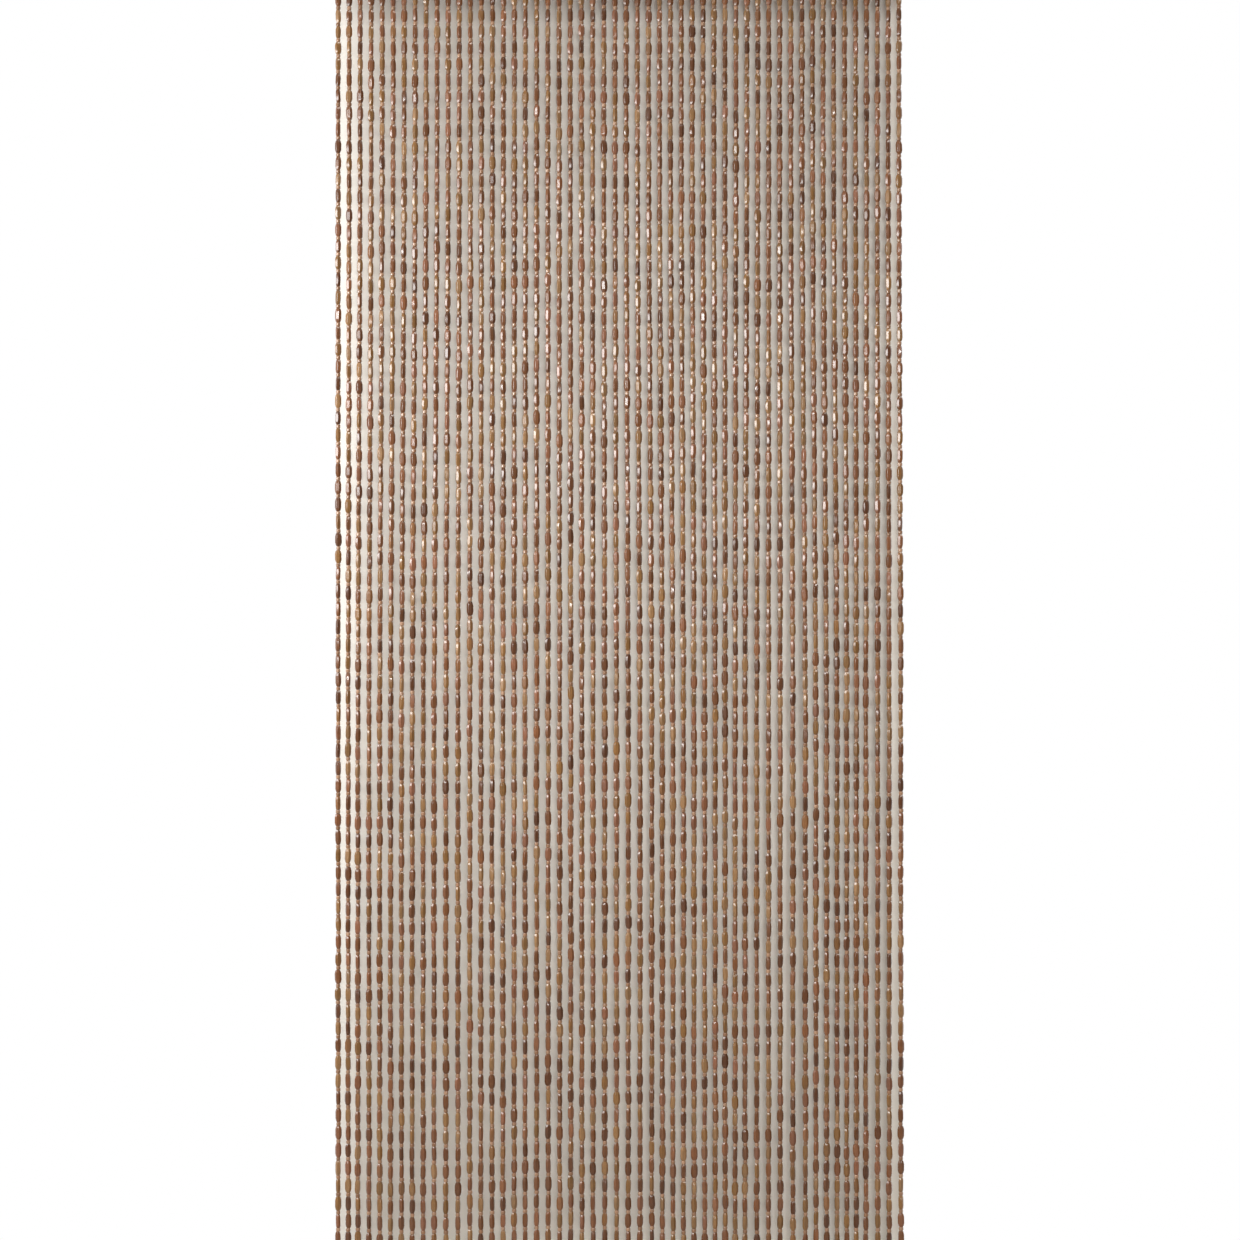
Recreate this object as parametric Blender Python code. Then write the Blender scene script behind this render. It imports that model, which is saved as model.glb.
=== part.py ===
"""A bead curtain for a doorway: a wooden heading lath with a row of bead strands hanging from it.

Metres, +Z up. The origin is the middle of the lath's top edge, the front faces -Y and X runs along
the lath. Each strand is a closed four-sided solid that reaches as far as its beads do. Its root, a
bare stretch of cord, is sunk into the lath, so that the lath and its strands are one solid.
"""

import math
from collections import namedtuple

import bmesh
import bpy
import numpy as np
from mathutils import Vector

# The whole curtain
DROP = 2.000

# The heading lath
LATH_LENGTH = 0.900
LATH_DEPTH = 0.016
LATH_HEIGHT = 0.020
LATH_EDGE_ROUND = 0.0015

# The strands
STRAND_COUNT = 52
STRAND_PITCH = 0.0172
STRAND_SIDE = 0.0084
CORD_SIDE = 0.0020
ROOT_SUNK = 0.008
BARE_CORD = 0.0015
SHOULDER = 0.0040
HEM_POINT = 0.0050
STRAND_STEPS = 14

# How far each strand hangs to +X of its even place, at its root and at its hem. The strands of the
# table are the ones where the row turns, and those between two of them lie in between.
Hang = namedtuple("Hang", "strand root hem")
HANGS = (
    Hang(strand=0, root=0.0000, hem=0.0000),
    Hang(strand=2, root=0.0000, hem=-0.0035),
    Hang(strand=9, root=0.0000, hem=-0.0050),
    Hang(strand=12, root=0.0005, hem=-0.0005),
    Hang(strand=17, root=0.0005, hem=0.0000),
    Hang(strand=20, root=0.0015, hem=0.0025),
    Hang(strand=23, root=0.0025, hem=0.0030),
    Hang(strand=28, root=0.0040, hem=0.0090),
    Hang(strand=34, root=0.0030, hem=0.0050),
    Hang(strand=37, root=0.0030, hem=0.0000),
    Hang(strand=40, root=0.0025, hem=0.0035),
    Hang(strand=42, root=0.0030, hem=0.0085),
    Hang(strand=45, root=0.0010, hem=0.0065),
    Hang(strand=48, root=0.0010, hem=0.0000),
    Hang(strand=51, root=0.0000, hem=0.0030),
)

# A strand starts to leave its root's plumb line at the first height, and hangs plumb again from the
# second one down.
SWAY_FROM = -0.18
SWAY_TO = -1.28

# Strands also hang a little forward or back at the hem, each by its own share of this.
HEM_DEPTH_SWAY = 0.0015
GOLDEN_ANGLE = math.pi * (3.0 - math.sqrt(5.0))


def clear_scene():
    """Remove every object that the scene holds."""
    for item in list(bpy.data.objects):
        bpy.data.objects.remove(item, do_unlink=True)


def wood_material():
    """Varnished mid-brown wood."""
    material = bpy.data.materials.new("varnished_wood")
    material.use_nodes = True
    shader = material.node_tree.nodes["Principled BSDF"]
    shader.inputs["Base Color"].default_value = (0.28, 0.155, 0.085, 1.0)
    shader.inputs["Roughness"].default_value = 0.35
    shader.inputs["Metallic"].default_value = 0.0
    return material


def sway_share(z):
    """How much of its sideways drift a strand has taken up at this height, from 0 to 1."""
    share = min(max((z - SWAY_FROM) / (SWAY_TO - SWAY_FROM), 0.0), 1.0)
    return share * share * (3.0 - 2.0 * share)


def hang_of(strand):
    """How far this strand hangs to +X of its even place, at its root and at its hem."""
    strands = [row.strand for row in HANGS]
    root = np.interp(strand, strands, [row.root for row in HANGS])
    hem = np.interp(strand, strands, [row.hem for row in HANGS])
    return float(root), float(hem)


def strand_place(strand, z):
    """The middle of one strand at this height."""
    root, hem = hang_of(strand)
    even_x = (strand - (STRAND_COUNT - 1) / 2.0) * STRAND_PITCH
    share = sway_share(z)
    x = even_x + root + (hem - root) * share
    y = HEM_DEPTH_SWAY * math.sin(strand * GOLDEN_ANGLE) * share
    return Vector((x, y, z))


def strand_sections():
    """Height and side of each section of a strand, from its sunk root down to its hem."""
    lath_foot = -LATH_HEIGHT
    beads_top = lath_foot - BARE_CORD - SHOULDER
    beads_foot = -DROP + HEM_POINT
    heights = np.linspace(beads_top, beads_foot, STRAND_STEPS + 1)
    root = [(lath_foot + ROOT_SUNK, CORD_SIDE), (lath_foot - BARE_CORD, CORD_SIDE)]
    beads = [(float(z), STRAND_SIDE) for z in heights]
    return root + beads + [(-DROP, CORD_SIDE)]


def add_ring(mesh, middle, side):
    """Four corner points round the middle, anticlockwise as seen from above."""
    half = side / 2.0
    corners = ((-half, -half), (half, -half), (half, half), (-half, half))
    return [mesh.verts.new(middle + Vector((x, y, 0.0))) for x, y in corners]


def add_strand(mesh, strand):
    """One closed four-sided strand."""
    rings = [add_ring(mesh, strand_place(strand, z), side) for z, side in strand_sections()]
    for upper, lower in zip(rings, rings[1:]):
        for corner in range(4):
            after = (corner + 1) % 4
            mesh.faces.new((upper[corner], lower[corner], lower[after], upper[after]))
    mesh.faces.new(rings[0])
    mesh.faces.new(reversed(rings[-1]))


def make_object(name, mesh):
    """Turn a bmesh into an object of the scene."""
    data = bpy.data.meshes.new(name)
    mesh.to_mesh(data)
    mesh.free()
    made = bpy.data.objects.new(name, data)
    bpy.context.scene.collection.objects.link(made)
    return made


def make_strands():
    """All strands as one mesh of separate closed bodies, hidden because the lath takes them in."""
    mesh = bmesh.new()
    for strand in range(STRAND_COUNT):
        add_strand(mesh, strand)
    bmesh.ops.triangulate(mesh, faces=mesh.faces[:])
    strands = make_object("strand_shapes", mesh)
    strands.hide_render = True
    strands.display_type = "WIRE"
    return strands


def make_lath():
    """The heading lath: a planed bar with its four long edges eased, its top at the origin."""
    mesh = bmesh.new()
    bmesh.ops.create_cube(mesh, size=1.0)
    bmesh.ops.scale(mesh, verts=mesh.verts, vec=(LATH_LENGTH, LATH_DEPTH, LATH_HEIGHT))
    bmesh.ops.translate(mesh, verts=mesh.verts, vec=(0.0, 0.0, -LATH_HEIGHT / 2.0))
    long_edges = [
        edge for edge in mesh.edges if abs(edge.verts[0].co.x - edge.verts[1].co.x) > LATH_DEPTH
    ]
    bmesh.ops.bevel(mesh, geom=long_edges, offset=LATH_EDGE_ROUND, segments=2, affect="EDGES")
    return make_object("strand_curtain", mesh)


def build_curtain():
    """The lath with every strand's root fused into it."""
    curtain = make_lath()
    curtain.data.materials.append(wood_material())
    roots = curtain.modifiers.new("strand_roots", "BOOLEAN")
    roots.operation = "UNION"
    roots.solver = "EXACT"
    roots.object = make_strands()
    return curtain


clear_scene()
build_curtain()
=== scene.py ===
"""The looks of a wooden bead curtain: beads, cords and heading lath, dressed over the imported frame.

Metres, +Z up. The origin is the middle of the lath's top edge, X runs along the lath and the front
faces -Y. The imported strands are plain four-sided stand-ins. Here each becomes a knotted cord with
long and small wooden beads on it, in the same place.
"""

import logging
import math
from dataclasses import dataclass, field, fields
from enum import Enum

import bmesh
import bpy
import numpy as np
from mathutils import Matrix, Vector


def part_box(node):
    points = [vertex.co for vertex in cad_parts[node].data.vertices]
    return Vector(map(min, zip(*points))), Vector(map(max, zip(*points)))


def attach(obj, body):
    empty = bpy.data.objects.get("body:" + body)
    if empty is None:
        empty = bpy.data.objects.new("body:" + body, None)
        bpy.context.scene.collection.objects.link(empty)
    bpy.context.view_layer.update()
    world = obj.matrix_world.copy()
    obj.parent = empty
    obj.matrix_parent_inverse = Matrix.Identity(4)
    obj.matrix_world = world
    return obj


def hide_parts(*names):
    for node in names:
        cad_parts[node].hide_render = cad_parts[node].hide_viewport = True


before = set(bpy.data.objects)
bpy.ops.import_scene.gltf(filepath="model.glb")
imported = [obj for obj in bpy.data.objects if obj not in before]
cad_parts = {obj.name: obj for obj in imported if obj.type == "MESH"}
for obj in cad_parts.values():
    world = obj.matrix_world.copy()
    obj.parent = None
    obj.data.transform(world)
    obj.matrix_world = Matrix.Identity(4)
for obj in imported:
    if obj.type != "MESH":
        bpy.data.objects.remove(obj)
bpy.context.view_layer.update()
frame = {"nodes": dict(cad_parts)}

LOG = logging.getLogger("bead_curtain")

CAD_NODE = "strand_curtain"
BODY = "root"

MM = 0.001
STRANDS_A_PIECE = 4
SEED = 5200
DRAW_ATTRIBUTE = "bead_draw"
CHART_LAYER = "OFBake"

Colour = tuple[float, float, float]
Place = tuple[float, float, float]


class Slot(Enum):
    """The record's material slots."""

    LONG_BEAD = "long_bead_wood"
    SMALL_BEAD = "small_bead_wood"
    HEADING = "heading_wood"
    CORD = "cord"


class Stain(Enum):
    """The stains that the long beads are dyed with, by their place on the stain ramp."""

    WALNUT = 0.00
    CHESTNUT = 0.20
    COPPER = 0.40
    ROSEWOOD = 0.60
    HONEY = 0.80
    OAK = 1.00


def linear(red: int, green: int, blue: int) -> Colour:
    """Turn a colour as a colour picker shows it, 0 to 255, into the scene's linear light.

    Args:
        red: Red, 0 to 255.
        green: Green, 0 to 255.
        blue: Blue, 0 to 255.

    Returns:
        The same colour in linear light, 0 to 1.
    """
    shares = [value / 255.0 for value in (red, green, blue)]
    return tuple(s / 12.92 if s <= 0.04045 else ((s + 0.055) / 1.055) ** 2.4 for s in shares)


# ---------------------------------------------------------------------------------------------
# Meshes from arrays
# ---------------------------------------------------------------------------------------------


@dataclass
class MeshArrays:
    """One mesh as arrays, before it becomes an object.

    Attributes:
        points: Place of each point, (n, 3).
        corners: Point of each face corner, face after face.
        face_sizes: How many corners each face has.
        normals: Shading normal of each point, (n, 3), or None to leave it to Blender.
        chart: Place of each face corner on the texture map, (corners, 2), or None.
        draws: Each point's own bead draw, (n, 3), or None.
    """

    points: np.ndarray
    corners: np.ndarray
    face_sizes: np.ndarray
    normals: np.ndarray | None = None
    chart: np.ndarray | None = None
    draws: np.ndarray | None = None

    def to_object(self, name: str) -> bpy.types.Object:
        """Make the mesh and link its object to the scene.

        Args:
            name: Name of the piece.

        Returns:
            The new object, smooth shaded.
        """
        mesh = bpy.data.meshes.new(name)
        mesh.vertices.add(len(self.points))
        mesh.vertices.foreach_set("co", self.points.astype(np.float32).ravel())
        mesh.loops.add(len(self.corners))
        mesh.loops.foreach_set("vertex_index", self.corners.astype(np.int32))
        mesh.polygons.add(len(self.face_sizes))
        starts = np.concatenate([[0], np.cumsum(self.face_sizes)[:-1]])
        mesh.polygons.foreach_set("loop_start", starts.astype(np.int32))
        mesh.update(calc_edges=True)
        mesh.shade_smooth()
        if self.chart is not None:
            layer = mesh.uv_layers.new(name=CHART_LAYER)
            layer.uv.foreach_set("vector", self.chart.astype(np.float32).ravel())
        if self.draws is not None:
            attribute = mesh.attributes.new(DRAW_ATTRIBUTE, "FLOAT_VECTOR", "POINT")
            attribute.data.foreach_set("vector", self.draws.astype(np.float32).ravel())
        if self.normals is not None:
            mesh.normals_split_custom_set_from_vertices(self.normals.tolist())
        mesh.validate()
        made = bpy.data.objects.new(name, mesh)
        bpy.context.scene.collection.objects.link(made)
        return made

    @staticmethod
    def joined(parts: list["MeshArrays"]) -> "MeshArrays":
        """Join several plain meshes, keeping only their points and faces.

        Args:
            parts: The meshes.

        Returns:
            One mesh of them all.
        """
        offsets = np.cumsum([0] + [len(part.points) for part in parts[:-1]])
        return MeshArrays(
            points=np.concatenate([part.points for part in parts]),
            corners=np.concatenate([part.corners + o for part, o in zip(parts, offsets)]),
            face_sizes=np.concatenate([part.face_sizes for part in parts]),
        )


def ring_faces(rings: int, around: int, closed: bool = False) -> tuple[np.ndarray, np.ndarray]:
    """Put faces between rings of points, lowest or first ring first.

    Args:
        rings: How many rings there are.
        around: How many points each ring has, anticlockwise as seen from the last ring.
        closed: Whether the last ring joins the first, so that there are no ends.

    Returns:
        Point of each face corner, and how many corners each face has: the walls, ring after ring,
        then the end at the first ring and the end at the last.
    """
    spans = rings if closed else rings - 1
    ring = np.arange(spans)[:, None]
    side = np.arange(around)[None, :]
    turn = (side + 1) % around
    here, after = ring * around, (ring + 1) % rings * around
    walls = np.stack([here + side, here + turn, after + turn, after + side], axis=-1).reshape(-1)
    sizes = np.full(spans * around, 4)
    if closed:
        return walls, sizes
    first = np.arange(around)[::-1]
    last = np.arange(around) + (rings - 1) * around
    return np.concatenate([walls, first, last]), np.append(sizes, [around, around])


# No cord runs along this direction, so that a tube's section can be set out from it.
ACROSS_CORDS = np.array([0.31, 0.95, 0.05])


def tube(route: np.ndarray, radius: float, sides: int, closed: bool = False) -> MeshArrays:
    """Sweep a round section along a route.

    Args:
        route: Points of the route, (n, 3).
        radius: Radius of the tube.
        sides: How many sides the tube has.
        closed: Whether the route's end joins its start.

    Returns:
        The tube, with its ends capped unless it is closed.
    """
    if closed:
        along = np.roll(route, -1, axis=0) - np.roll(route, 1, axis=0)
    else:
        along = np.gradient(route, axis=0)
    along /= np.linalg.norm(along, axis=1, keepdims=True)
    aside = np.cross(along, ACROSS_CORDS)
    aside /= np.linalg.norm(aside, axis=1, keepdims=True)
    upward = np.cross(along, aside)
    angles = np.arange(sides) * math.tau / sides
    rings = (
        route[:, None, :]
        + radius * np.cos(angles)[None, :, None] * aside[:, None, :]
        + radius * np.sin(angles)[None, :, None] * upward[:, None, :]
    )
    return MeshArrays(rings.reshape(-1, 3), *ring_faces(len(route), sides, closed))


# ---------------------------------------------------------------------------------------------
# The two beads
# ---------------------------------------------------------------------------------------------


@dataclass(frozen=True)
class BeadForm:
    """One bead as arrays. Its length runs from -1 to 1, and its section is in metres.

    Attributes:
        points: Place of each point, (p, 3).
        normals: Shading normal of each point in the same stretched space, (p, 3).
        corners: Point of each face corner.
        face_sizes: How many corners each face has.
        chart: Place of each face corner on the bead's own square of the map, (c, 2).
    """

    points: np.ndarray
    normals: np.ndarray
    corners: np.ndarray
    face_sizes: np.ndarray
    chart: np.ndarray


@dataclass(frozen=True)
class TurnedBead:
    """What both beads share: rings of one section that swell and shrink along the bore.

    Attributes:
        stations: Places of the rings along the bead, -1 at its foot and 1 at its top.
        straights: Share of its length over which its wall runs straight, across X and across Y.
        belly: How long it stays near its full girth past that: higher is longer.
        shoulder: How bluntly it closes in near its ends: lower is blunter.
    """

    stations: tuple[float, ...]
    straights: tuple[float, float]
    belly: float
    shoulder: float

    # The bead's square on the map: its wall fills the upper part, its two ends sit below.
    WALL_FOOT = 0.20
    WALL_RIM = 0.04
    END_PLACES = ((0.25, 0.10), (0.75, 0.10))
    END_RADIUS = 0.07
    # Slopes are read this far inside the ends, where the closing curve is not yet upright.
    LAST_SLOPE = 0.93
    SLOPE_STEP = 0.01

    def section(self) -> tuple[np.ndarray, np.ndarray]:
        """Points round the full section and the direction of the wall at each."""
        raise NotImplementedError

    def end_shares(self) -> np.ndarray:
        """Share of the full section, across X and across Y, that is left at the bead's ends."""
        raise NotImplementedError

    def girth(self, station: np.ndarray) -> np.ndarray:
        """Share of the full section at each station.

        Args:
            station: Places along the bead, (n,).

        Returns:
            Shares across X and across Y, (n, 2).
        """
        straights = np.array(self.straights)
        reach = np.clip((np.abs(station)[:, None] - straights) / (1.0 - straights), 0.0, 1.0)
        swell = (1.0 - reach**self.belly) ** self.shoulder
        ends = self.end_shares()
        return ends + (1.0 - ends) * swell

    def form(self) -> BeadForm:
        """Work out the bead's rings, walls, ends, shading and chart.

        Returns:
            The bead as arrays.
        """
        outline, heading = self.section()
        around, rings = len(outline), len(self.stations)
        station = np.array(self.stations)
        girth = self.girth(station)
        inner = np.clip(station, -self.LAST_SLOPE, self.LAST_SLOPE)
        slope = (self.girth(inner + self.SLOPE_STEP) - self.girth(inner - self.SLOPE_STEP)) / (
            2.0 * self.SLOPE_STEP
        )
        xy = outline[None] * girth[:, None]
        points = np.dstack([xy, np.broadcast_to(station[:, None], (rings, around))])
        run_xy = heading[None] * girth[:, None]
        run = np.dstack([run_xy, np.zeros((rings, around))])
        rise = np.dstack([outline[None] * slope[:, None], np.ones((rings, around))])
        normals = np.cross(run, rise)
        corners, face_sizes = ring_faces(rings, around)
        return BeadForm(
            points=points.reshape(-1, 3),
            normals=normals.reshape(-1, 3),
            corners=corners,
            face_sizes=face_sizes,
            chart=self.chart(around, station),
        )

    def chart(self, around: int, station: np.ndarray) -> np.ndarray:
        """Lay the bead's faces out on a unit square.

        Args:
            around: How many points a ring has.
            station: Places of the rings along the bead.

        Returns:
            Place of each face corner, in the order of the form's corners.
        """
        room = 1.0 - 2.0 * self.WALL_RIM
        columns = self.WALL_RIM + room * np.arange(around + 1) / around
        rows = self.WALL_FOOT + (1.0 - self.WALL_RIM - self.WALL_FOOT) * (station + 1.0) / 2.0
        left, right = columns[:-1], columns[1:]
        across = np.stack([left, right, right, left], -1)
        walls = []
        for low, high in zip(rows, rows[1:]):
            upward = np.broadcast_to([low, low, high, high], across.shape)
            walls.append(np.stack([across, upward], -1).reshape(-1, 2))
        angles = np.arange(around) * math.tau / around
        disc = self.END_RADIUS * np.stack([np.cos(angles), np.sin(angles)], -1)
        ends = [disc[::-1] + self.END_PLACES[0], disc + self.END_PLACES[1]]
        return np.concatenate(walls + ends)


@dataclass(frozen=True)
class LongBead(TurnedBead):
    """The long bead: a flattened six-sided oval with tumbled ridges.

    Attributes:
        half_width: From the bore to its two side ridges, before these are eased.
        half_depth: From the bore to its two broad faces.
        face_half_width: Half the width of a broad face.
        ridge_round: How far each ridge is eased, along both faces that meet there.
        end_half_width: Half the width that is left at the ends.
        end_half_depth: Half the depth that is left at the ends.
    """

    stations: tuple[float, ...] = (-1.0, -0.84, -0.45, 0.45, 0.84, 1.0)
    straights: tuple[float, float] = (0.26, 0.54)
    belly: float = 2.0
    shoulder: float = 0.78
    half_width: float = 5.45 * MM
    half_depth: float = 3.55 * MM
    face_half_width: float = 2.50 * MM
    ridge_round: float = 0.60 * MM
    end_half_width: float = 3.10 * MM
    end_half_depth: float = 2.65 * MM

    def section(self) -> tuple[np.ndarray, np.ndarray]:
        """Two points at each of the six ridges, so that the faces between them shade flat.

        Returns:
            The points, anticlockwise from the +X ridge, and the direction of the face that each
            belongs to.
        """
        w, f, d = self.half_width, self.face_half_width, self.half_depth
        ridges = np.array([(w, 0.0), (f, d), (-f, d), (-w, 0.0), (-f, -d), (f, -d)])
        points, headings = [], []
        for before, ridge, after in zip(np.roll(ridges, 1, 0), ridges, np.roll(ridges, -1, 0)):
            for start, end, towards in ((before, ridge, before), (ridge, after, after)):
                heading = (end - start) / np.linalg.norm(end - start)
                step = (towards - ridge) / np.linalg.norm(towards - ridge)
                points.append(ridge + step * self.ridge_round)
                headings.append(heading)
        return np.array(points), np.array(headings)

    def end_shares(self) -> np.ndarray:
        """Share of the full width and depth that is left at the ends."""
        full = np.array([self.half_width, self.half_depth])
        return np.array([self.end_half_width, self.end_half_depth]) / full


@dataclass(frozen=True)
class SmallBead(TurnedBead):
    """The small bead: a short round barrel.

    Attributes:
        radius: Its radius at the middle.
        end_radius: Its radius at the ends.
        sides: How many sides stand for the round.
    """

    stations: tuple[float, ...] = (-1.0, -0.82, -0.45, 0.45, 0.82, 1.0)
    straights: tuple[float, float] = (0.50, 0.50)
    belly: float = 2.0
    shoulder: float = 0.55
    radius: float = 3.50 * MM
    end_radius: float = 2.60 * MM
    sides: int = 8

    def section(self) -> tuple[np.ndarray, np.ndarray]:
        """A circle.

        Returns:
            Its points, anticlockwise from +X, and the direction of the wall at each.
        """
        angles = np.arange(self.sides) * math.tau / self.sides
        points = self.radius * np.stack([np.cos(angles), np.sin(angles)], -1)
        return points, np.stack([-np.sin(angles), np.cos(angles)], -1)

    def end_shares(self) -> np.ndarray:
        """Share of the radius that is left at the ends."""
        return np.full(2, self.end_radius / self.radius)


# ---------------------------------------------------------------------------------------------
# The strands
# ---------------------------------------------------------------------------------------------


def tame(draws: np.ndarray, most: float = 2.0) -> np.ndarray:
    """Hold bell-curve draws to so many standard deviations."""
    return np.clip(draws, -most, most)


@dataclass(frozen=True)
class Hang:
    """How far one strand hangs to +X of its even place.

    Attributes:
        strand: Number of the strand, from the left.
        root: The distance at its root.
        hem: The distance at its hem.
    """

    strand: int
    root: float
    hem: float


@dataclass
class StrandRow:
    """Where every strand hangs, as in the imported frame.

    Attributes:
        count: How many strands there are.
        pitch: Even distance between two strands.
        hangs: The strands where the row turns. Those between two of them lie in between.
        sway_from: Height at which a strand starts to leave its root's plumb line.
        sway_to: Height from which it hangs plumb again.
        depth_sway: How far strands hang forward or back at the hem, at most.
        wander: How far a strand strays from its own line between the beads.
        wander_lengths: The two lengths of a strand over which it strays and returns.
    """

    count: int = 52
    pitch: float = 17.2 * MM
    hangs: tuple[Hang, ...] = (
        Hang(strand=0, root=0.0, hem=0.0),
        Hang(strand=2, root=0.0, hem=-3.5 * MM),
        Hang(strand=9, root=0.0, hem=-5.0 * MM),
        Hang(strand=12, root=0.5 * MM, hem=-0.5 * MM),
        Hang(strand=17, root=0.5 * MM, hem=0.0),
        Hang(strand=20, root=1.5 * MM, hem=2.5 * MM),
        Hang(strand=23, root=2.5 * MM, hem=3.0 * MM),
        Hang(strand=28, root=4.0 * MM, hem=9.0 * MM),
        Hang(strand=34, root=3.0 * MM, hem=5.0 * MM),
        Hang(strand=37, root=3.0 * MM, hem=0.0),
        Hang(strand=40, root=2.5 * MM, hem=3.5 * MM),
        Hang(strand=42, root=3.0 * MM, hem=8.5 * MM),
        Hang(strand=45, root=1.0 * MM, hem=6.5 * MM),
        Hang(strand=48, root=1.0 * MM, hem=0.0),
        Hang(strand=51, root=0.0, hem=3.0 * MM),
    )
    sway_from: float = -0.18
    sway_to: float = -1.28
    depth_sway: float = 1.5 * MM
    wander: float = 0.35 * MM
    wander_lengths: tuple[float, float] = (0.31, 0.13)

    GOLDEN_ANGLE = math.pi * (3.0 - math.sqrt(5.0))

    def middle(self, strand: int, z: np.ndarray) -> np.ndarray:
        """Find the middle of one strand.

        Args:
            strand: Number of the strand, from the left.
            z: Heights, (n,).

        Returns:
            The strand's middle at those heights, (n, 3).
        """
        strands = [hang.strand for hang in self.hangs]
        root = np.interp(strand, strands, [hang.root for hang in self.hangs])
        hem = np.interp(strand, strands, [hang.hem for hang in self.hangs])
        even_x = (strand - (self.count - 1) / 2.0) * self.pitch
        share = np.clip((z - self.sway_from) / (self.sway_to - self.sway_from), 0.0, 1.0)
        share = share * share * (3.0 - 2.0 * share)
        phase = strand * self.GOLDEN_ANGLE
        long_wave, short_wave = (math.tau * z / length for length in self.wander_lengths)
        # Whole multiples of the phase keep the three waves out of step with each other.
        stray_x = (np.sin(long_wave + phase) + np.sin(short_wave + 3.0 * phase)) / 2.0
        stray_y = np.cos(long_wave + 2.0 * phase)
        x = even_x + root + (hem - root) * share + self.wander * share * stray_x
        y = self.depth_sway * math.sin(phase) * share + self.wander * share * stray_y
        return np.stack([x, y, z], -1)


@dataclass
class Threading:
    """How the beads are spaced down one cord, from the lath's foot to the hem.

    Attributes:
        repeats: How many times a long and a small bead follow each other, after a first small one.
        bare_cord: Cord that shows between the lath and the first bead.
        hem_cord: Cord, with its knot, below the last bead on the longest strand.
        small_length: Length of a small bead.
        gap: Play between two beads.
        settled_repeat: Length of one repeat once the beads' own weight has drawn them together.
        top_shortfall: How much shorter the first repeat is.
        settling: Over how many repeats that shortfall fades.
        length_spread: Standard deviation of a long bead's length.
        hem_spread: How much higher the last bead ends on the shortest strand.
    """

    repeats: int = 73
    bare_cord: float = 1.5 * MM
    hem_cord: float = 4.0 * MM
    small_length: float = 5.9 * MM
    gap: float = 0.15 * MM
    settled_repeat: float = 27.4 * MM
    top_shortfall: float = 2.6 * MM
    settling: float = 11.0
    length_spread: float = 0.85 * MM
    hem_spread: float = 10.0 * MM

    def spans(
        self, top: float, foot: float, rng: np.random.Generator
    ) -> tuple[np.ndarray, np.ndarray, np.ndarray, np.ndarray]:
        """Share one strand's length out among its beads.

        Args:
            top: Height of the lath's foot.
            foot: Height of the curtain's hem.
            rng: The strand's own source of chance.

        Returns:
            Middle heights and half lengths of the small beads, then of the long beads.
        """
        number = np.arange(self.repeats)
        repeat = self.settled_repeat - self.top_shortfall * np.exp(-number / self.settling)
        repeat = repeat + tame(rng.normal(size=self.repeats)) * self.length_spread
        first_top = top - self.bare_cord
        last_foot = foot + self.hem_cord + rng.uniform() * self.hem_spread
        room = first_top - last_foot - self.small_length
        repeat *= room / repeat.sum()
        small_top = first_top - np.concatenate([[0.0], np.cumsum(repeat)])
        small_middle = small_top - self.small_length / 2.0
        long_top = small_top[:-1] - self.small_length
        long_length = repeat - self.small_length
        small_half = np.full(self.repeats + 1, (self.small_length - self.gap) / 2.0)
        long_middle = long_top - long_length / 2.0
        return small_middle, small_half, long_middle, (long_length - self.gap) / 2.0


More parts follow.
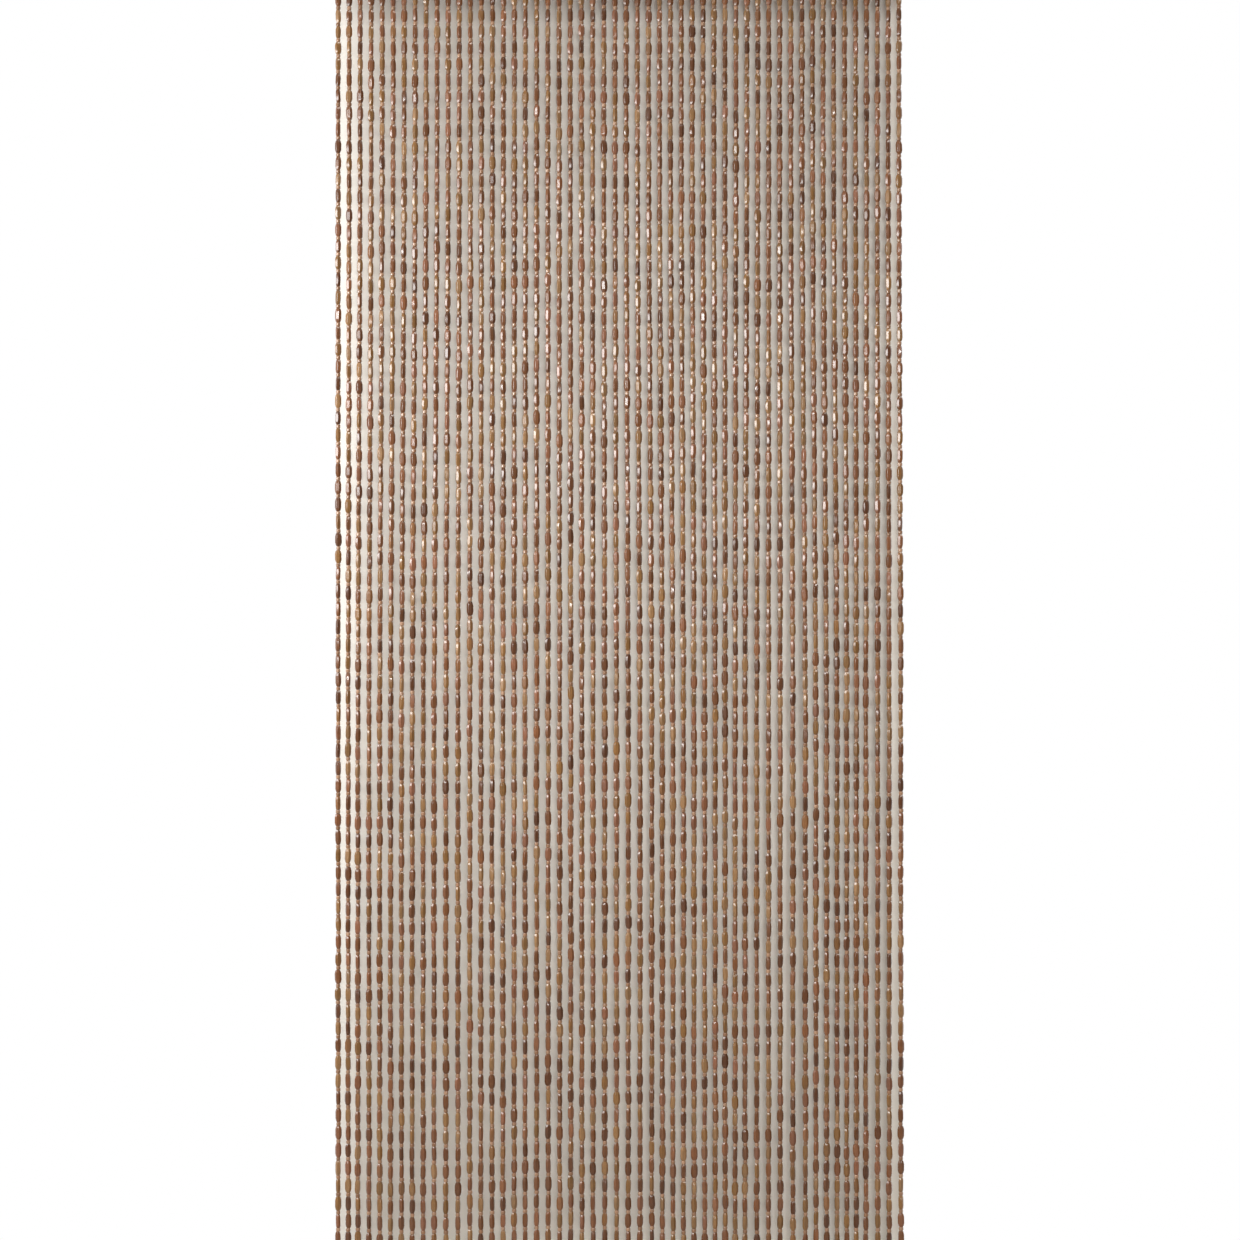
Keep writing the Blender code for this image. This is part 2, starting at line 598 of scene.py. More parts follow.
@dataclass
class BeadLot:
    """The beads of one piece: where each hangs and how it differs from its neighbours.

    Attributes:
        middles: Middle of each bead, (n, 3).
        scales: Its scale across X, across Y, and its half length, (n, 3).
        turns: Its turn about the cord, in radians.
        tilts: Its tilt about X and about Y, in radians, (n, 2).
        draws: Its stain, its shade and its figure, each from 0 to 1, (n, 3).
    """

    middles: np.ndarray
    scales: np.ndarray
    turns: np.ndarray
    tilts: np.ndarray
    draws: np.ndarray

    @staticmethod
    def joined(lots: tuple["BeadLot", ...]) -> "BeadLot":
        """Put several lots together."""
        names = [each.name for each in fields(BeadLot)]
        return BeadLot(*[np.concatenate([getattr(lot, name) for lot in lots]) for name in names])

    def attitudes(self) -> np.ndarray:
        """Work out how each bead is turned and tilted.

        Returns:
            A matrix for each bead, (n, 3, 3): its turn, then its tilt about X, then about Y.
        """
        cos_t, sin_t = np.cos(self.turns), np.sin(self.turns)
        zero, one = np.zeros_like(cos_t), np.ones_like(cos_t)
        turned = np.array([[cos_t, -sin_t, zero], [sin_t, cos_t, zero], [zero, zero, one]])
        cos_x, sin_x = np.cos(self.tilts[:, 0]), np.sin(self.tilts[:, 0])
        about_x = np.array([[one, zero, zero], [zero, cos_x, -sin_x], [zero, sin_x, cos_x]])
        cos_y, sin_y = np.cos(self.tilts[:, 1]), np.sin(self.tilts[:, 1])
        about_y = np.array([[cos_y, zero, sin_y], [zero, one, zero], [-sin_y, zero, cos_y]])
        return np.einsum("ijn,jkn,kln->nil", about_y, about_x, turned)

    def mesh(self, form: BeadForm) -> MeshArrays:
        """Put a copy of the form at every bead's place, as one mesh.

        Args:
            form: The bead that all of them are cut to.

        Returns:
            The joined beads, with their shading, chart and draws.
        """
        count, size = len(self.turns), len(form.points)
        attitudes = self.attitudes()
        points = form.points[None] * self.scales[:, None]
        points = np.einsum("nij,npj->npi", attitudes, points) + self.middles[:, None]
        normals = form.normals[None] / self.scales[:, None]
        normals = np.einsum("nij,npj->npi", attitudes, normals)
        normals /= np.linalg.norm(normals, axis=2, keepdims=True)
        starts = np.arange(count) * size
        columns = math.ceil(math.sqrt(count))
        cells = np.stack([np.arange(count) % columns, np.arange(count) // columns], -1)
        chart = (form.chart[None] + cells[:, None]) / columns
        return MeshArrays(
            points=points.reshape(-1, 3),
            corners=(form.corners[None] + starts[:, None]).reshape(-1),
            face_sizes=np.tile(form.face_sizes, count),
            normals=normals.reshape(-1, 3),
            chart=chart.reshape(-1, 2),
            draws=np.repeat(self.draws, size, axis=0),
        )


@dataclass
class Strands:
    """All beads of the curtain, a few strands to a piece.

    Attributes:
        row: Where the strands hang.
        threading: How the beads are spaced.
        long_bead: The form of the long beads.
        small_bead: The form of the small beads.
        stain_shares: How much of the lot each stain makes up.
        stain_blur: How far a bead's stain strays on the ramp.
        girth_spread: Standard deviation of a bead's girth, as a share.
        tilt_spread: Standard deviation of a long bead's tilt on its cord.
        most_tilt: The most that a bead tilts.
        play: How far a bead sits off its cord's middle.
    """

    row: StrandRow
    threading: Threading
    long_bead: LongBead = LongBead()
    small_bead: SmallBead = SmallBead()
    stain_shares: dict[Stain, float] = field(
        default_factory=lambda: {
            Stain.WALNUT: 0.12,
            Stain.CHESTNUT: 0.22,
            Stain.COPPER: 0.20,
            Stain.ROSEWOOD: 0.14,
            Stain.HONEY: 0.20,
            Stain.OAK: 0.12,
        }
    )
    stain_blur: float = 0.05
    girth_spread: float = 0.04
    tilt_spread: float = math.radians(1.0)
    most_tilt: float = math.radians(3.0)
    play: float = 0.15 * MM

    def lot(
        self,
        strand: int,
        z: np.ndarray,
        halves: np.ndarray,
        stains: np.ndarray,
        rng: np.random.Generator,
    ) -> BeadLot:
        """Hang one strand's beads of one sort.

        Args:
            strand: Number of the strand, from the left.
            z: Middle heights of the beads.
            halves: Their half lengths.
            stains: Their places on the stain ramp.
            rng: The strand's own source of chance.

        Returns:
            The lot of beads.
        """
        count = len(z)
        middles = self.row.middle(strand, z)
        middles[:, :2] += rng.uniform(-self.play, self.play, (count, 2))
        girths = 1.0 + tame(rng.normal(size=(count, 2))) * self.girth_spread
        tilts = tame(rng.normal(size=(count, 2)) * self.tilt_spread, self.most_tilt)
        return BeadLot(
            middles=middles,
            scales=np.concatenate([girths, halves[:, None]], axis=1),
            turns=rng.uniform(0.0, math.tau, count),
            tilts=tilts,
            draws=np.stack([stains, rng.uniform(size=count), rng.uniform(size=count)], -1),
        )

    def thread(self, strand: int, top: float, foot: float) -> tuple[BeadLot, BeadLot]:
        """Thread one strand.

        Args:
            strand: Number of the strand, from the left.
            top: Height of the lath's foot.
            foot: Height of the curtain's hem.

        Returns:
            Its long beads and its small beads.
        """
        rng = np.random.default_rng(SEED + strand)
        small_z, small_halves, long_z, long_halves = self.threading.spans(top, foot, rng)
        places = [stain.value for stain in self.stain_shares]
        shares = list(self.stain_shares.values())
        stains = rng.choice(places, size=len(long_z), p=shares)
        stains = np.clip(stains + rng.normal(size=len(long_z)) * self.stain_blur, 0.0, 1.0)
        long_lot = self.lot(strand, long_z, long_halves, stains, rng)
        small_lot = self.lot(strand, small_z, small_halves, rng.uniform(size=len(small_z)), rng)
        return long_lot, small_lot

    def last_bead_foot(self, small_lot: BeadLot) -> float:
        """Height of the foot of a strand's last bead."""
        return float(small_lot.middles[-1, 2] - small_lot.scales[-1, 2])

    def dress(self, lath_foot: float, hem: float) -> list[float]:
        """Thread every strand and put the beads on the curtain, a few strands to a piece.

        Args:
            lath_foot: Height of the lath's foot.
            hem: Height of the curtain's hem.

        Returns:
            Height of the foot of each strand's last bead.
        """
        long_form, small_form = self.long_bead.form(), self.small_bead.form()
        long_finish, small_finish = LONG_BEAD_FINISH.make(), SMALL_BEAD_FINISH.make()
        bead_feet = []
        for first in range(0, self.row.count, STRANDS_A_PIECE):
            numbers = range(first, min(first + STRANDS_A_PIECE, self.row.count))
            label = f"strands_{numbers[0] + 1:02d}_{numbers[-1] + 1:02d}"
            lots = [self.thread(strand, lath_foot, hem) for strand in numbers]
            long_lots, small_lots = zip(*lots)
            long_beads = BeadLot.joined(long_lots).mesh(long_form).to_object(f"long_beads_{label}")
            fit(long_beads, long_finish)
            small_beads = BeadLot.joined(small_lots).mesh(small_form).to_object(f"small_beads_{label}")
            fit(small_beads, small_finish)
            bead_feet += [self.last_bead_foot(small_lot) for small_lot in small_lots]
        return bead_feet


# ---------------------------------------------------------------------------------------------
# Cords and knots
# ---------------------------------------------------------------------------------------------


@dataclass
class Cords:
    """The cords that the beads are threaded on, with a knot at both ends of each.

    Attributes:
        radius: Radius of the cord.
        sides: How many sides stand for its round.
        stations: How many points a cord's route has.
        knot_ring: Radius of the ring that a knot's cord winds round.
        knot_swing: How far the cord swings from that ring.
        knot_height: Half the height of a knot.
        knot_points: How many points a knot's route has.
        knot_sides: How many sides a knot's cord has.
        top_knot_drop: From the lath's top down to the middle of the upper knot.
    """

    radius: float = 0.60 * MM
    sides: int = 6
    stations: int = 24
    knot_ring: float = 0.80 * MM
    knot_swing: float = 0.40 * MM
    knot_height: float = 0.65 * MM
    knot_points: int = 24
    knot_sides: int = 5
    top_knot_drop: float = 2.0 * MM

    # A knot's cord goes round its ring twice and swings out and in three times on the way.
    KNOT_ROUNDS = 2.0
    KNOT_LOBES = 3.0

    def knot(self, middle: np.ndarray) -> MeshArrays:
        """Tie an overhand knot.

        Args:
            middle: Middle of the knot.

        Returns:
            The knot's cord, closed on itself.
        """
        way = np.arange(self.knot_points) * math.tau / self.knot_points
        bearing, swing = self.KNOT_ROUNDS * way, self.KNOT_LOBES * way
        reach = self.knot_ring + self.knot_swing * np.cos(swing)
        rise = self.knot_height * np.sin(swing)
        route = np.stack([reach * np.cos(bearing), reach * np.sin(bearing), rise], -1)
        return tube(route + middle, self.radius, self.knot_sides, closed=True)

    def strand(
        self, row: StrandRow, strand: int, lath_top: float, bead_foot: float, hem: float
    ) -> MeshArrays:
        """Run one cord from its upper knot through its beads to its lower knot and tail.

        Args:
            row: Where the strands hang.
            strand: Number of the strand, from the left.
            lath_top: Height of the lath's top.
            bead_foot: Height of the foot of its last bead.
            hem: Height of the curtain's hem, where the tail ends.

        Returns:
            The cord and its two knots.
        """
        upper = lath_top - self.top_knot_drop
        lower = bead_foot - self.knot_height - self.radius
        heights = np.concatenate([np.linspace(upper, lower, self.stations), [hem]])
        ends = row.middle(strand, np.array([upper, lower]))
        run = tube(row.middle(strand, heights), self.radius, self.sides)
        return MeshArrays.joined([run, self.knot(ends[0]), self.knot(ends[1])])

    def dress(self, row: StrandRow, lath_top: float, bead_feet: list[float], hem: float) -> None:
        """Run every cord and put them on the curtain as one piece.

        Args:
            row: Where the strands hang.
            lath_top: Height of the lath's top.
            bead_feet: Height of the foot of each strand's last bead.
            hem: Height of the curtain's hem.
        """
        runs = [self.strand(row, strand, lath_top, foot, hem) for strand, foot in enumerate(bead_feet)]
        fit(MeshArrays.joined(runs).to_object("strand_cords"), TwistedCord().make())


# ---------------------------------------------------------------------------------------------
# The heading lath
# ---------------------------------------------------------------------------------------------


@dataclass
class HeadingLath:
    """The planed lath that the cords are drawn through and knotted into.

    Attributes:
        length: Along X.
        depth: Along Y.
        height: Down from its top edge.
        edge_round: How far its long edges are eased.
        end_round: How far the edges of its ends are eased.
        bore_radius: Radius of the holes that the cords run through.
        well_radius: Radius of the wells in its top that hold the knots.
        well_depth: Depth of these wells.
        bore_sides: How many sides stand for the round of a hole.
    """

    length: float
    depth: float
    height: float = 20.0 * MM
    edge_round: float = 1.5 * MM
    end_round: float = 0.6 * MM
    bore_radius: float = 1.1 * MM
    well_radius: float = 2.6 * MM
    well_depth: float = 4.2 * MM
    bore_sides: int = 14

    CUT_SPARE = 1.0 * MM
    SHARP_FROM = math.radians(40.0)
    LONG_EDGE_STEPS = 4
    END_EDGE_STEPS = 2
    SAME_PLACE = 0.001 * MM

    def bar(self) -> bpy.types.Object:
        """Plane the lath and ease its edges.

        Returns:
            The lath before it is drilled.
        """
        mesh = bmesh.new()
        bmesh.ops.create_cube(mesh, size=1.0)
        bmesh.ops.scale(mesh, verts=mesh.verts, vec=(self.length, self.depth, self.height))
        bmesh.ops.translate(mesh, verts=mesh.verts, vec=(0.0, 0.0, -self.height / 2.0))
        long_edges = [
            edge for edge in mesh.edges if abs(edge.verts[0].co.x - edge.verts[1].co.x) > self.height
        ]
        bmesh.ops.bevel(
            mesh, geom=long_edges, offset=self.edge_round, segments=self.LONG_EDGE_STEPS, affect="EDGES"
        )
        half = self.length / 2.0
        end_edges = [
            edge
            for edge in mesh.edges
            if all(abs(abs(vertex.co.x) - half) < self.SAME_PLACE for vertex in edge.verts)
        ]
        bmesh.ops.bevel(
            mesh, geom=end_edges, offset=self.end_round, segments=self.END_EDGE_STEPS, affect="EDGES"
        )
        data = bpy.data.meshes.new("heading_lath")
        mesh.to_mesh(data)
        mesh.free()
        made = bpy.data.objects.new("heading_lath", data)
        bpy.context.scene.collection.objects.link(made)
        return made

    def drill(self, row: StrandRow) -> bpy.types.Object:
        """Shape all the holes: a narrow bore with a wider well at its top, for each strand.

        Args:
            row: Where the strands hang.

        Returns:
            A helper object that the lath is cut with.
        """
        angles = np.arange(self.bore_sides) * math.tau / self.bore_sides
        circle = np.stack([np.cos(angles), np.sin(angles)], -1)
        steps = (
            (-self.height - self.CUT_SPARE, self.bore_radius),
            (-self.well_depth - self.bore_radius, self.bore_radius),
            (-self.well_depth, self.well_radius),
            (self.CUT_SPARE, self.well_radius),
        )
        holes = []
        for strand in range(row.count):
            middle = row.middle(strand, np.array([-self.height / 2.0]))[0, :2]
            rings = [
                np.column_stack([middle + circle * radius, np.full(self.bore_sides, z)])
                for z, radius in steps
            ]
            holes.append(MeshArrays(np.concatenate(rings), *ring_faces(len(steps), self.bore_sides)))
        return MeshArrays.joined(holes).to_object("lath_holes")

    def make(self, row: StrandRow) -> bpy.types.Object:
        """Cut the bar, drill it and shade it.

        Args:
            row: Where the strands hang.

        Returns:
            The drilled lath.
        """
        lath, holes = self.bar(), self.drill(row)
        cut = lath.modifiers.new("holes", "BOOLEAN")
        cut.operation = "DIFFERENCE"
        cut.solver = "EXACT"
        cut.object = holes
        graph = bpy.context.evaluated_depsgraph_get()
        drilled = bpy.data.meshes.new_from_object(lath.evaluated_get(graph))
        lath.modifiers.clear()
        lath.data = drilled
        bpy.data.objects.remove(holes, do_unlink=True)
        drilled.shade_smooth()
        drilled.set_sharp_from_angle(angle=self.SHARP_FROM)
        return lath

    def dress(self, row: StrandRow) -> None:
        """Make the lath and put it on the curtain."""
        fit(self.make(row), LathStain().make())


# ---------------------------------------------------------------------------------------------
# Finishes
# ---------------------------------------------------------------------------------------------


class Recipe:
    """Adds and wires the nodes of one material."""

    def __init__(self, name: str) -> None:
        """Start a material that holds only its output.

        Args:
            name: Name of the material.
        """
        self.material = bpy.data.materials.new(name)
        self.material.use_nodes = True
        self.tree = self.material.node_tree
        self.tree.nodes.clear()
        self.output = self.tree.nodes.new("ShaderNodeOutputMaterial")

    def add(self, kind: str, inputs: dict | None = None, **settings: object) -> bpy.types.Node:
        """Add a node.

        Args:
            kind: Its type.
            inputs: For each input, by name or number, its value or the socket that feeds it.
            settings: Its own settings.

        Returns:
            The new node.
        """
        node = self.tree.nodes.new(kind)
        for key, value in settings.items():
            setattr(node, key, value)
        for key, value in (inputs or {}).items():
            if isinstance(value, bpy.types.NodeSocket):
                self.tree.links.new(value, node.inputs[key])
            else:
                node.inputs[key].default_value = value
        return node

    def between(
        self, value: bpy.types.NodeSocket, low: float, high: float, span: tuple[float, float]
    ) -> bpy.types.NodeSocket:
        """Map a value from its own span to the range from low to high.

        Args:
            value: The value.
            low: What the span's start becomes.
            high: What the span's end becomes.
            span: Where the value mostly lies.

        Returns:
            The mapped value.
        """
        start, end = span
        inputs = {"Value": value, "From Min": start, "From Max": end, "To Min": low, "To Max": high}
        return self.add("ShaderNodeMapRange", inputs).outputs["Result"]

    def noise(
        self, place: bpy.types.NodeSocket, inputs: dict, own: bpy.types.NodeSocket | None = None
    ) -> bpy.types.NodeSocket:
        """Add noise, which mostly lies in NOISE_SPAN.

        Args:
            place: Where on the piece it is read.
            inputs: Its scale, and its detail, roughness and distortion where they matter.
            own: What sets one bead's noise apart from the next one's, or None.

        Returns:
            The noise.
        """
        if own is None:
            node = self.add("ShaderNodeTexNoise", {"Vector": place, **inputs})
        else:
            figured = {"Vector": place, "W": own, **inputs}
            node = self.add("ShaderNodeTexNoise", figured, noise_dimensions="4D")
        return node.outputs["Fac"]

    def product(self, *values: bpy.types.NodeSocket) -> bpy.types.NodeSocket:
        """Multiply values with each other.

        Args:
            values: The values.

        Returns:
            Their product.
        """
        result = values[0]
        for value in values[1:]:
            factors = {0: result, 1: value}
            result = self.add("ShaderNodeMath", factors, operation="MULTIPLY").outputs[0]
        return result

    def scaled(self, colour: bpy.types.NodeSocket, by: bpy.types.NodeSocket) -> bpy.types.NodeSocket:
        """Make a colour lighter or darker by a factor."""
        inputs = {0: colour, "Scale": by}
        return self.add("ShaderNodeVectorMath", inputs, operation="SCALE").outputs[0]

    def finish(self, shader: bpy.types.Node) -> bpy.types.Material:
        """Wire the shader to the output and hand over the material."""
        self.tree.links.new(shader.outputs[0], self.output.inputs["Surface"])
        return self.material


NOISE_SPAN = (0.32, 0.68)


@dataclass(frozen=True)
class BeadVarnish:
    """Stained bead wood under a coat of varnish.

    Attributes:
        name: Name of the material.
        stains: Places on the stain ramp and their colours.
        shade_range: Darkest and lightest bead of one stain, as factors.
        grain_scale: How many grain lines there are to a metre, across the grain.
        grain_stretch: How closely the grain is spaced along the bead, as a share of across it.
        grain_range: Factors for dark and light grain lines.
        cloud_scale: How many stain clouds there are to a metre.
        cloud_range: Factors for dark and light clouds.
        roughness: Range of the wood's own roughness.
        bump_depth: Depth of the grain under the varnish.
        specular: Strength of the wood's own reflection.
        coat: Weight of the varnish coat.
        coat_ior: Refractive index of the varnish coat.
        coat_roughness: Roughness of the varnish coat.
    """

    name: str
    stains: tuple[tuple[float, Colour], ...]
    shade_range: tuple[float, float] = (0.84, 1.16)
    grain_scale: float = 1500.0
    grain_stretch: float = 0.14
    grain_range: tuple[float, float] = (0.84, 1.12)
    cloud_scale: float = 170.0
    cloud_range: tuple[float, float] = (0.90, 1.08)
    roughness: tuple[float, float] = (0.40, 0.52)
    bump_depth: float = 0.05 * MM
    specular: float = 0.20
    coat: float = 1.00
    coat_ior: float = 1.50
    coat_roughness: float = 0.20

    BUMP_STRENGTH = 0.35
    FIGURE_SPREAD = 60.0
    GRAIN_DETAIL = 4.0
    GRAIN_ROUGHNESS = 0.6
    UNIT_SPAN = (0.0, 1.0)

    def make(self) -> bpy.types.Material:
        """Mix the finish.

        Returns:
            The material.
        """
        recipe = Recipe(self.name)
        draw = recipe.add(
            "ShaderNodeAttribute", attribute_name=DRAW_ATTRIBUTE, attribute_type="GEOMETRY"
        )
        parts = recipe.add("ShaderNodeSeparateXYZ", {0: draw.outputs["Vector"]})
        stain, shade, figure = parts.outputs
        place = recipe.add("ShaderNodeTexCoord").outputs["Object"]
        along = {"Vector": place, "Scale": (1.0, 1.0, self.grain_stretch)}
        stretched = recipe.add("ShaderNodeMapping", along).outputs[0]
        own = recipe.between(figure, 0.0, self.FIGURE_SPREAD, self.UNIT_SPAN)
        fine = {
            "Scale": self.grain_scale,
            "Detail": self.GRAIN_DETAIL,
            "Roughness": self.GRAIN_ROUGHNESS,
        }
        grain = recipe.noise(stretched, fine, own)
        cloud = recipe.noise(place, {"Scale": self.cloud_scale}, own)
        ramp = recipe.add("ShaderNodeValToRGB", {"Fac": stain})
        self.fill(ramp.color_ramp)
        factor = recipe.product(
            recipe.between(shade, *self.shade_range, self.UNIT_SPAN),
            recipe.between(grain, *self.grain_range, NOISE_SPAN),
            recipe.between(cloud, *self.cloud_range, NOISE_SPAN),
        )
        bump = recipe.add(
            "ShaderNodeBump",
            {"Strength": self.BUMP_STRENGTH, "Distance": self.bump_depth, "Height": grain},
        )
        shader = recipe.add(
            "ShaderNodeBsdfPrincipled",
            {
                "Base Color": recipe.scaled(ramp.outputs["Color"], factor),
                "Roughness": recipe.between(cloud, *self.roughness, NOISE_SPAN),
                "Specular IOR Level": self.specular,
                "Coat Weight": self.coat,
                "Coat IOR": self.coat_ior,
                "Coat Roughness": self.coat_roughness,
                "Normal": bump.outputs["Normal"],
            },
        )
        return recipe.finish(shader)

    def fill(self, ramp: bpy.types.ColorRamp) -> None:
        """Set the stains on a colour ramp.

        Args:
            ramp: The ramp, with its two first stops still there.
        """
        while len(ramp.elements) < len(self.stains):
            ramp.elements.new(0.5)
        for stop, (place, colour) in zip(ramp.elements, self.stains):
            stop.position = place
            stop.color = (*colour, 1.0)


LONG_BEAD_FINISH = BeadVarnish(
    name="varnished_long_beads",
    stains=(
        (Stain.WALNUT.value, linear(88, 51, 25)),
        (Stain.CHESTNUT.value, linear(106, 65, 34)),
        (Stain.COPPER.value, linear(120, 75, 44)),
        (Stain.ROSEWOOD.value, linear(126, 81, 57)),
        (Stain.HONEY.value, linear(124, 87, 44)),
        (Stain.OAK.value, linear(138, 104, 68)),
    ),
)

SMALL_BEAD_FINISH = BeadVarnish(
    name="pale_small_beads",
    stains=((0.0, linear(134, 98, 70)), (0.5, linear(149, 113, 86)), (1.0, linear(165, 131, 105))),
    shade_range=(0.90, 1.10),
    roughness=(0.38, 0.50),
)


@dataclass(frozen=True)
class TwistedCord:
    """Matte tan cotton cord.

    Attributes:
        name: Name of the material.
        light: Colour of the raised yarns.
        dark: Colour between the yarns, painted shade in the grooves.
        twists: How many yarns pass in a metre of cord.
        waver: How unevenly they are twisted.
        fibres: How many fibres pass in a metre.
        fibre_range: Factors for dark and light fibres.
        roughness: Range of roughness.
        sheen: Strength of the sheen of its loose fibres.
        bump_depth: Depth between the yarns.
    """

    name: str = "twisted_cord"
    light: Colour = linear(186, 152, 116)
    dark: Colour = linear(120, 90, 64)
    twists: float = 900.0
    waver: float = 1.5
    fibres: float = 3600.0
    fibre_range: tuple[float, float] = (0.85, 1.1)
    roughness: tuple[float, float] = (0.75, 0.92)
    sheen: float = 0.2
    bump_depth: float = 0.12 * MM

    def make(self) -> bpy.types.Material:
        """Mix the finish.

        Returns:
            The material.
        """
        recipe = Recipe(self.name)
        place = recipe.add("ShaderNodeTexCoord").outputs["Object"]
        yarn = recipe.add(
            "ShaderNodeTexWave",
            {"Vector": place, "Scale": self.twists / math.tau, "Distortion": self.waver},
            wave_type="BANDS",
            bands_direction="DIAGONAL",
        ).outputs["Fac"]
        fibre = recipe.noise(place, {"Scale": self.fibres})
        # The yarn bands paint the grooves between the raised yarns darker: painted shade.
        mix = recipe.add(
            "ShaderNodeMix",
            {"Factor": yarn, "A": (*self.dark, 1.0), "B": (*self.light, 1.0)},
            data_type="RGBA",
        )
        shade = recipe.between(fibre, *self.fibre_range, NOISE_SPAN)
        bump = recipe.add("ShaderNodeBump", {"Distance": self.bump_depth, "Height": yarn})
        shader = recipe.add(
            "ShaderNodeBsdfPrincipled",
            {
                "Base Color": recipe.scaled(mix.outputs["Result"], shade),
                "Roughness": recipe.between(fibre, *self.roughness, NOISE_SPAN),
                "Sheen Weight": self.sheen,
                "Normal": bump.outputs["Normal"],
            },
        )
        return recipe.finish(shader)


@dataclass(frozen=True)
class LathStain:
    """Mid-brown stain and thin varnish on planed wood, its grain along X.

    Attributes:
        name: Name of the material.
        light: Colour of the early wood.
        dark: Colour of the late wood.
        rings: How many growth lines there are to a metre, across the grain.
        pores: How many pores there are to a metre, across the grain.
        stretch: How closely both are spaced along the lath, as a share of across it.
        pore_range: Factors for dark and light pores.
        roughness: Range of roughness.
        coat: Weight of the varnish coat.
        coat_roughness: Roughness of the varnish coat.
        bump_depth: Depth of the pores.
    """

    name: str = "stained_lath"
    light: Colour = linear(158, 112, 74)
    dark: Colour = linear(112, 72, 44)
    rings: float = 260.0
    pores: float = 1800.0
    stretch: float = 0.06
    pore_range: tuple[float, float] = (0.82, 1.08)
    roughness: tuple[float, float] = (0.36, 0.52)
    coat: float = 0.15
    coat_roughness: float = 0.3
    bump_depth: float = 0.10 * MM

    BUMP_STRENGTH = 0.5

    def make(self) -> bpy.types.Material:
        """Mix the finish.

        Returns:
            The material.
        """
        recipe = Recipe(self.name)
        place = recipe.add("ShaderNodeTexCoord").outputs["Object"]
        lengthwise = {"Vector": place, "Scale": (self.stretch, 1.0, 1.0)}
        along = recipe.add("ShaderNodeMapping", lengthwise).outputs[0]
        wavy = {"Scale": self.rings, "Detail": 3.0, "Roughness": 0.55, "Distortion": 0.4}
        rings = recipe.noise(along, wavy)
        pores = recipe.noise(along, {"Scale": self.pores, "Detail": 4.0, "Roughness": 0.65})
        mix = recipe.add(
            "ShaderNodeMix",
            {
                "Factor": recipe.between(rings, 0.0, 1.0, NOISE_SPAN),
                "A": (*self.dark, 1.0),
                "B": (*self.light, 1.0),
            },
            data_type="RGBA",
        )
        shade = recipe.between(pores, *self.pore_range, NOISE_SPAN)
        bump = recipe.add(
            "ShaderNodeBump",
            {"Strength": self.BUMP_STRENGTH, "Distance": self.bump_depth, "Height": pores},
        )
        shader = recipe.add(
            "ShaderNodeBsdfPrincipled",
            {
                "Base Color": recipe.scaled(mix.outputs["Result"], shade),
                "Roughness": recipe.between(pores, *self.roughness, NOISE_SPAN),
                "Coat Weight": self.coat,
                "Coat Roughness": self.coat_roughness,
                "Normal": bump.outputs["Normal"],
            },
        )
        return recipe.finish(shader)


@dataclass(frozen=True)
class StudioPaper:
    """Matte pale backdrop paper.

    Attributes:
        name: Name of the material.
        colour: Its colour.
        one_sided: Whether it is clear from behind, so that the curtain's back shows too.
        glow_beyond: How far from the middle, to both sides, it glows white as painted light, or None
        for nowhere.
    """

    name: str
    colour: Colour
    one_sided: bool = False
    glow_beyond: float | None = None

    GLOW_EDGE = 1.0 * MM

    def make(self) -> bpy.types.Material:
        """Mix the finish.

        Returns:
            The material.
        """
        recipe = Recipe(self.name)
        paper = recipe.add("ShaderNodeBsdfDiffuse", {"Color": (*self.colour, 1.0)})
        # Beyond glow_beyond the paper glows white, painted light that covers the shadow cast on it.
        if self.glow_beyond is not None:
            place = recipe.add("ShaderNodeTexCoord").outputs["Object"]
            x = recipe.add("ShaderNodeSeparateXYZ", {0: place}).outputs[0]
            aside = recipe.add("ShaderNodeMath", {0: x}, operation="ABSOLUTE").outputs[0]
            span = (self.glow_beyond, self.glow_beyond + self.GLOW_EDGE)
            share = recipe.between(aside, 0.0, 1.0, span)
            glow = recipe.add("ShaderNodeEmission", {"Strength": 1.0})
            glowing = {0: share, 1: paper.outputs[0], 2: glow.outputs[0]}
            paper = recipe.add("ShaderNodeMixShader", glowing)
        if self.one_sided:
            side = recipe.add("ShaderNodeNewGeometry").outputs["Backfacing"]
            clear = recipe.add("ShaderNodeBsdfTransparent")
            sided = {0: side, 1: paper.outputs[0], 2: clear.outputs[0]}
            paper = recipe.add("ShaderNodeMixShader", sided)
        return recipe.finish(paper)


# ---------------------------------------------------------------------------------------------
# The studio
# ---------------------------------------------------------------------------------------------


# The colour of the fill light, a little warmer than that of the windows.
WARM: Colour = (1.0, 0.91, 0.83)


@dataclass(frozen=True)
class SoftBox:
    """A rectangular studio lamp.

    Attributes:
        name: Name of the lamp.
        place: Its middle.
        aim: The point that it faces.
        width: Its width.
        height: Its height.
        power: Its power in watts.
        spread: Angle that its light fans out over.
        tint: Its colour.
    """

    name: str
    place: Place
    aim: Place
    width: float
    height: float
    power: float
    spread: float
    tint: Colour = (1.0, 1.0, 1.0)

    def make(self) -> bpy.types.Object:
        """Hang the lamp.

        Returns:
            The lamp.
        """
        data = bpy.data.lights.new(self.name, "AREA")
        data.shape = "RECTANGLE"
        data.size, data.size_y = self.width, self.height
        data.energy = self.power
        data.color = self.tint
        data.spread = self.spread
        lamp = bpy.data.objects.new(self.name, data)
        lamp.location = self.place
        facing = Vector(self.aim) - Vector(self.place)
        lamp.rotation_euler = facing.to_track_quat("-Z", "Y").to_euler()
        bpy.context.scene.collection.objects.link(lamp)
        return lamp


